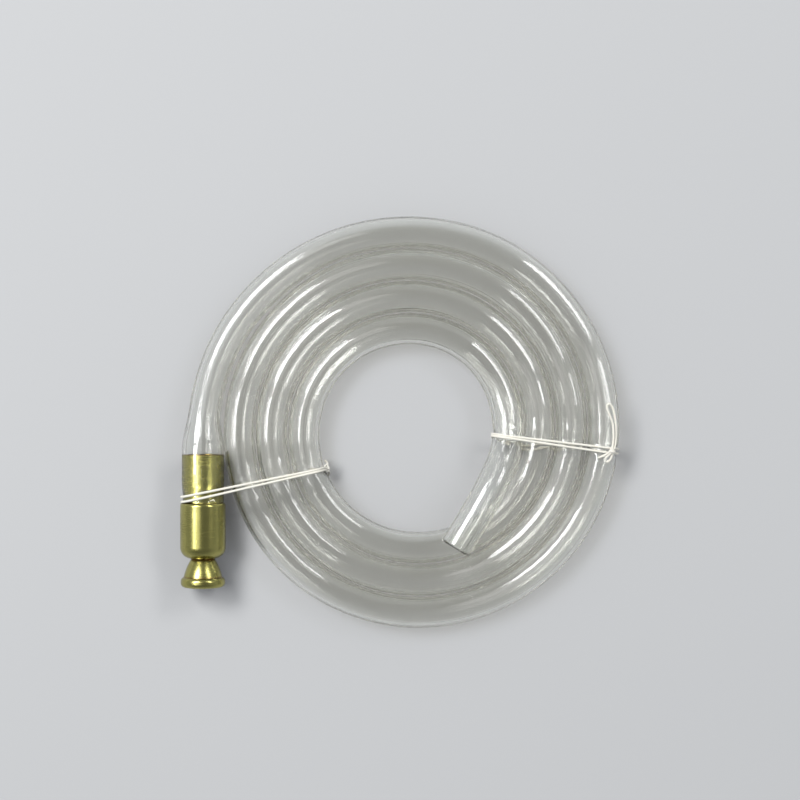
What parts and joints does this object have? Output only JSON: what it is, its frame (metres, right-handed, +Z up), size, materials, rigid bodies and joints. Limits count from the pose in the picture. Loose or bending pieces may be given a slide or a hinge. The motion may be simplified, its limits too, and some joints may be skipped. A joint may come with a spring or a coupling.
{
  "type": "self-priming siphon hose",
  "caption": "Clear siphon hose wound in a flat coil, with a flared brass foot valve holding a loose ball and string ties round the turns.",
  "frame": {"origin": "on the floor under the middle of the brass foot valve, which lies on its side", "axes": "+Y runs along the valve from its foot to the hose, +X towards the coil, +Z up from the floor"},
  "size_m": [0.2294, 0.215, 0.0343],
  "materials": {
    "clear_hose": "clear gloss",
    "brass": "polished, slightly tarnished",
    "ball_glass": "gloss",
    "pin_steel": "satin",
    "string": "twisted cotton"
  },
  "bodies": {
    "siphon": {"hose_lead": "clear_hose", "hose_coil": "clear_hose", "hose_rise": "clear_hose", "hose_end": "clear_hose", "hose_tail": "brass", "valve_chamber": "brass", "foot_bell": "brass", "ball_stop_pin": "pin_steel", "left_tie": "string", "right_tie": "string"},
    "ball": {"valve_ball": "ball_glass"}
  },
  "joints": [
    {"name": "ball_lift", "type": "slide", "parent": "siphon", "child": "ball", "axis": [0, 1, 0], "range_m": [0, 0.0075]}
  ]
}
